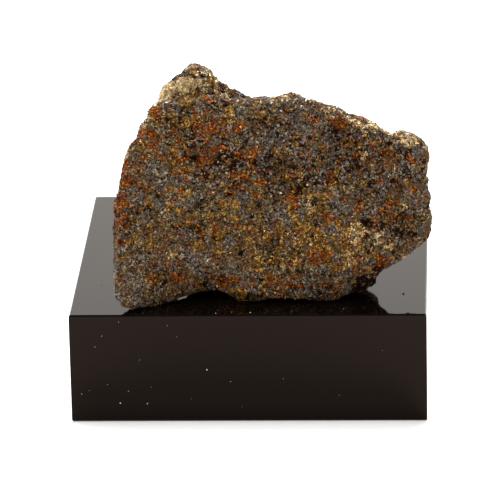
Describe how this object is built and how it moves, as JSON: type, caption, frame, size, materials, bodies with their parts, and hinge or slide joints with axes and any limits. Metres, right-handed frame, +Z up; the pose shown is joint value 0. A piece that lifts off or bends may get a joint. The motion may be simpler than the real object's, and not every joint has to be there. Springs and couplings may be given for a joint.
{
  "type": "cleophane sphalerite specimen",
  "caption": "Rough, granular piece of pale sphalerite ore standing on a low square display block of polished black acrylic.",
  "frame": {"origin": "centre of the display block's underside", "axes": "+Z up, the stone's broad face towards -Y, the block's sides along X and Y"},
  "size_m": [0.0508, 0.05, 0.0462],
  "materials": {
    "ore": "rough granular break in grey-brown, with rust, amber and pale grains",
    "black_acrylic": "polished black, lightly dusty"
  },
  "bodies": {
    "root": {"sphalerite_stone": "ore", "display_block": "black_acrylic"}
  },
  "joints": []
}
